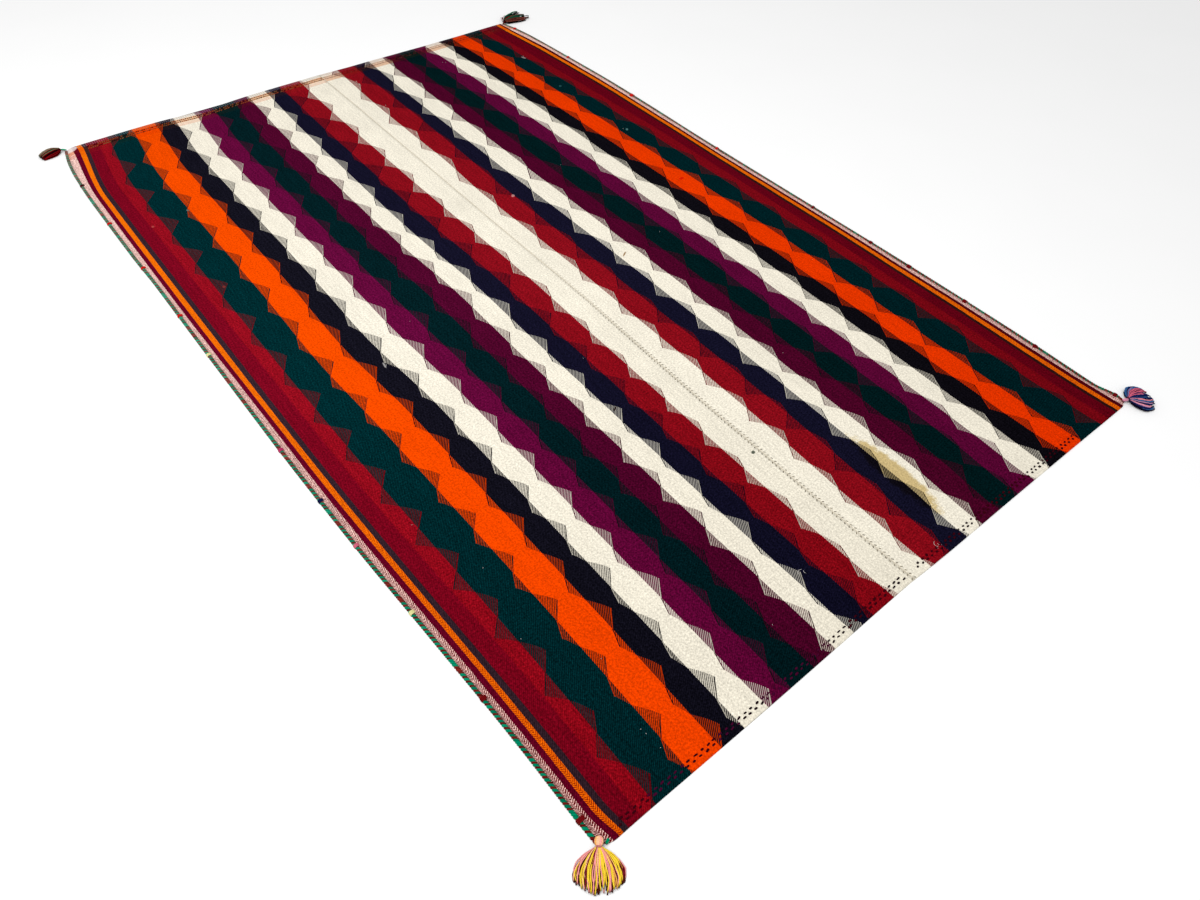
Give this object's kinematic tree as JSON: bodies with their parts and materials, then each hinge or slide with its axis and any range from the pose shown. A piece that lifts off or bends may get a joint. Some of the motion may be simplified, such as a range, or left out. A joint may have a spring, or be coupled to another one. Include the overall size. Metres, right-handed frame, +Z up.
{
  "type": "jajim rug",
  "caption": "Flat-woven jajim rug: joined warp-faced wool panels in serrated stripes, overcast sides, stitched ends and a yarn tassel at each corner",
  "frame": {"origin": "on the floor under the middle of the rug's box, tassels included", "axes": "+Y along the stripes from the near end with the stitched hem to the far end with the twined band, +X across the stripes from left to right, +Z up"},
  "size_m": [1.8394, 2.766, 0.022],
  "materials": {
    "panel_left": "warp-faced wool, striped in crimson, teal, orange, black, cream, purple, dark green, navy and red",
    "panel_right": "the same stripes mirrored",
    "binding": "overcast wool, green and red-brown by turns",
    "tassel_near_left": "plied wool, pink and yellow",
    "tassel_near_right": "plied wool, pink and blue",
    "tassel_far_left": "wool, dark red with a green wrap",
    "tassel_far_right": "wool, green and dark red"
  },
  "bodies": {
    "root": {"panel_left": "panel_left", "panel_right": "panel_right", "binding_left": "binding", "binding_right": "binding", "tassel_near_left": "tassel_near_left", "tassel_near_right": "tassel_near_right", "tassel_far_left": "tassel_far_left", "tassel_far_right": "tassel_far_right"}
  },
  "joints": []
}
